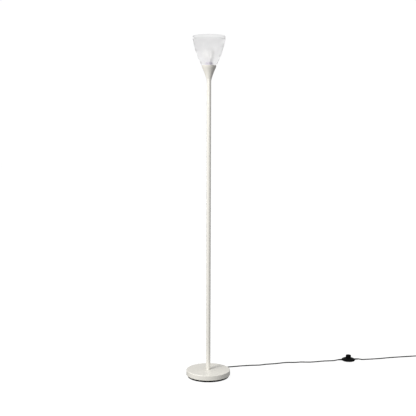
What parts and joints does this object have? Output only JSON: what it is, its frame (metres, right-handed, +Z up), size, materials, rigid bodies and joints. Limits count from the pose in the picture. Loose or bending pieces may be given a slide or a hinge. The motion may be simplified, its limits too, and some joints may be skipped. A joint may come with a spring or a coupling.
{
  "type": "torchiere floor lamp",
  "caption": "Floor lamp with a weighted round base, a straight pole, a metal cup and an open frosted glass shade facing up, with a foot switch on its cord.",
  "frame": {"origin": "on the floor at the centre of the round base", "axes": "+Z up along the pole, +X to the side where the cord is laid out, +Y to the back"},
  "size_m": [1.4155, 0.505, 1.75],
  "materials": {
    "cream_paint": "satin powder coat, warm off-white",
    "concrete": "cast concrete, rough",
    "tray_plastic": "fine moulded texture",
    "felt": "pressed felt",
    "zinc_steel": "zinc plated",
    "grey_plastic": "moulded thermoplastic",
    "porcelain": "glazed",
    "brass": "stamped and turned",
    "frosted_glass": "satin frosted, translucent white",
    "opal_glass": "opal inside coating",
    "clear_glass": "clear",
    "nickel": "nickel plated",
    "black_glass": "black glass bead",
    "core_plastic": "core insulation",
    "cord_plastic": "smooth cord jacket",
    "black_rubber": "moulded",
    "black_gloss": "gloss moulded",
    "white_plastic": "moulded",
    "tie_fabric": "woven hook and loop strap"
  },
  "bodies": {
    "lamp": {"base_cover": "cream_paint", "base_weight": "concrete", "base_tray": "tray_plastic", "base_pads": "felt", "tray_screws": "zinc_steel", "clamp_plate": "zinc_steel", "base_nipple": "zinc_steel", "base_nut": "zinc_steel", "cord_gland": "black_rubber", "pole_lower": "cream_paint", "pole_middle": "cream_paint", "pole_upper": "cream_paint", "foot_insert": "zinc_steel", "top_insert": "zinc_steel", "lower_socket": "zinc_steel", "lower_stud": "zinc_steel", "upper_socket": "zinc_steel", "upper_stud": "zinc_steel", "shade_cup": "cream_paint", "head_nipple": "zinc_steel", "cup_washer": "zinc_steel", "cup_nut": "zinc_steel", "holder_cap": "grey_plastic", "holder_body": "grey_plastic", "holder_insert": "porcelain", "holder_sleeve": "brass", "centre_contact": "brass", "side_contact": "brass", "terminal_screws": "brass", "shade_ring": "grey_plastic", "shade": "frosted_glass", "bulb_glass": "opal_glass", "bulb_cap": "nickel", "bulb_insulator": "black_glass", "bulb_contact": "nickel", "bulb_stem": "clear_glass", "bulb_filament": "zinc_steel", "inner_flex": "cord_plastic", "holder_cores": "core_plastic", "switch_base": "black_gloss", "switch_cover": "black_gloss", "switch_spring": "zinc_steel", "switch_block": "white_plastic", "switch_terminals": "brass", "switch_screws": "zinc_steel", "switch_feet": "black_rubber", "switch_cores": "core_plastic", "relief_in": "black_rubber", "relief_out": "black_rubber", "plug_body": "black_gloss", "plug_pins": "nickel", "plug_relief": "black_rubber", "cord_to_switch": "cord_plastic", "cord_to_coil": "cord_plastic", "cord_coil": "cord_plastic", "cord_tail": "cord_plastic", "cord_tie": "tie_fabric"},
    "button": {"switch_button": "black_gloss", "switch_plunger": "white_plastic"}
  },
  "joints": [
    {"name": "button_press", "type": "slide", "parent": "lamp", "child": "button", "axis": [0, 0, -1], "range_m": [0, 0.004], "stiffness_N_per_m": 900, "springref_m": -0.002, "deforming": ["switch_spring"]}
  ]
}
